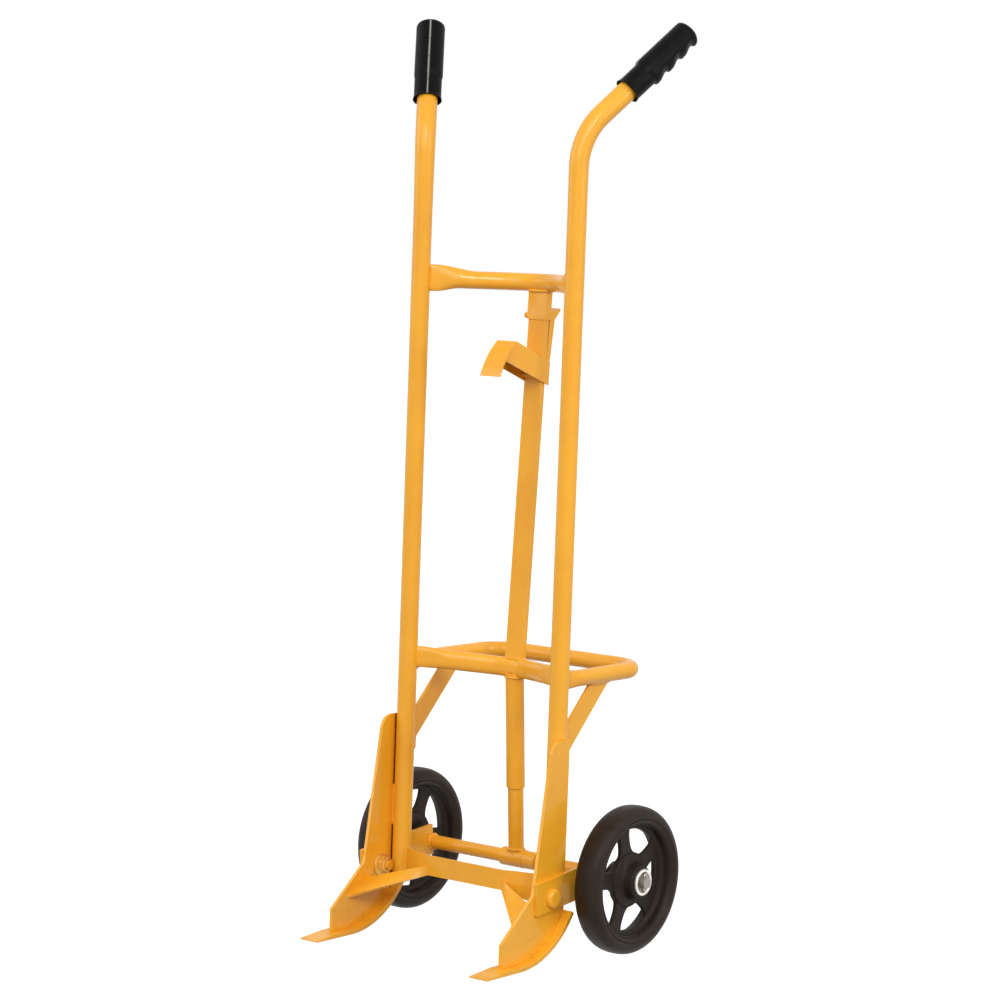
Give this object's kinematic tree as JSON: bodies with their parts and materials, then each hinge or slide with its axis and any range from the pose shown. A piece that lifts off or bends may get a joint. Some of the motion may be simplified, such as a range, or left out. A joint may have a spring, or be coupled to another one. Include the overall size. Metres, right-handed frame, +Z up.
{
  "type": "drum trolley",
  "caption": "Wheeled drum trolley: bent-tube frame with angled hand grips, curved lifting toes, a rear tilt-rest loop and a sliding hook that grips the drum rim.",
  "frame": {"origin": "floor level, under the middle of the bounding box, on the plane that halves the trolley left from right", "axes": "+Z up, -Y forward towards the toe tips, +Y back towards the person pushing, +X to the side of the right wheel as seen from the front"},
  "size_m": [0.554, 0.47, 1.5562],
  "materials": {
    "frame_paint": "satin-gloss amber powder coat",
    "yellow_zinc": "yellow passivated zinc",
    "bright_steel": "bright zinc and bearing steel",
    "grip_rubber": "black moulded rubber with a slight sheen",
    "tyre_rubber": "smooth black solid rubber",
    "wheel_plastic": "black moulded wheel centre"
  },
  "bodies": {
    "frame": {"left_upright": "frame_paint", "right_upright": "frame_paint", "upper_cross_bar": "frame_paint", "lower_front_bar": "frame_paint", "rear_loop": "frame_paint", "left_brace": "frame_paint", "right_brace": "frame_paint", "hook_rail": "frame_paint", "rail_top_sleeve": "frame_paint", "rail_stop_pin": "frame_paint", "strut_sleeve": "frame_paint", "strut_rod": "frame_paint", "axle_bush": "frame_paint", "axle_collar": "frame_paint", "left_axle_bracket": "frame_paint", "right_axle_bracket": "frame_paint", "left_toe_plate": "frame_paint", "right_toe_plate": "frame_paint", "left_toe_sole": "frame_paint", "right_toe_sole": "frame_paint", "front_cross_plate": "frame_paint", "left_toe_strap": "frame_paint", "right_toe_strap": "frame_paint", "bracket_bolts": "frame_paint", "axle": "frame_paint", "bracket_nuts": "yellow_zinc", "bracket_washers": "yellow_zinc", "axle_washers": "bright_steel", "axle_spacers": "bright_steel", "split_pins": "bright_steel", "left_grip": "grip_rubber", "right_grip": "grip_rubber"},
    "left_wheel": {"left_tyre": "tyre_rubber", "left_wheel_centre": "wheel_plastic", "left_wheel_bearings": "bright_steel"},
    "right_wheel": {"right_tyre": "tyre_rubber", "right_wheel_centre": "wheel_plastic", "right_wheel_bearings": "bright_steel"},
    "chime_hook": {"hook_channel": "frame_paint", "hook_lever": "frame_paint", "hook_cross_pin": "frame_paint"}
  },
  "joints": [
    {"name": "left_wheel_spin", "type": "hinge", "parent": "frame", "child": "left_wheel", "pos_m": [-0.236, 0.091, 0.125], "axis": [1, 0, 0], "continuous": true},
    {"name": "right_wheel_spin", "type": "hinge", "parent": "frame", "child": "right_wheel", "pos_m": [0.236, 0.091, 0.125], "axis": [1, 0, 0], "continuous": true},
    {"name": "hook_slide", "type": "slide", "parent": "frame", "child": "chime_hook", "axis": [0, 0.0536, 0.9986], "range_m": [-0.42, 0.02]}
  ]
}
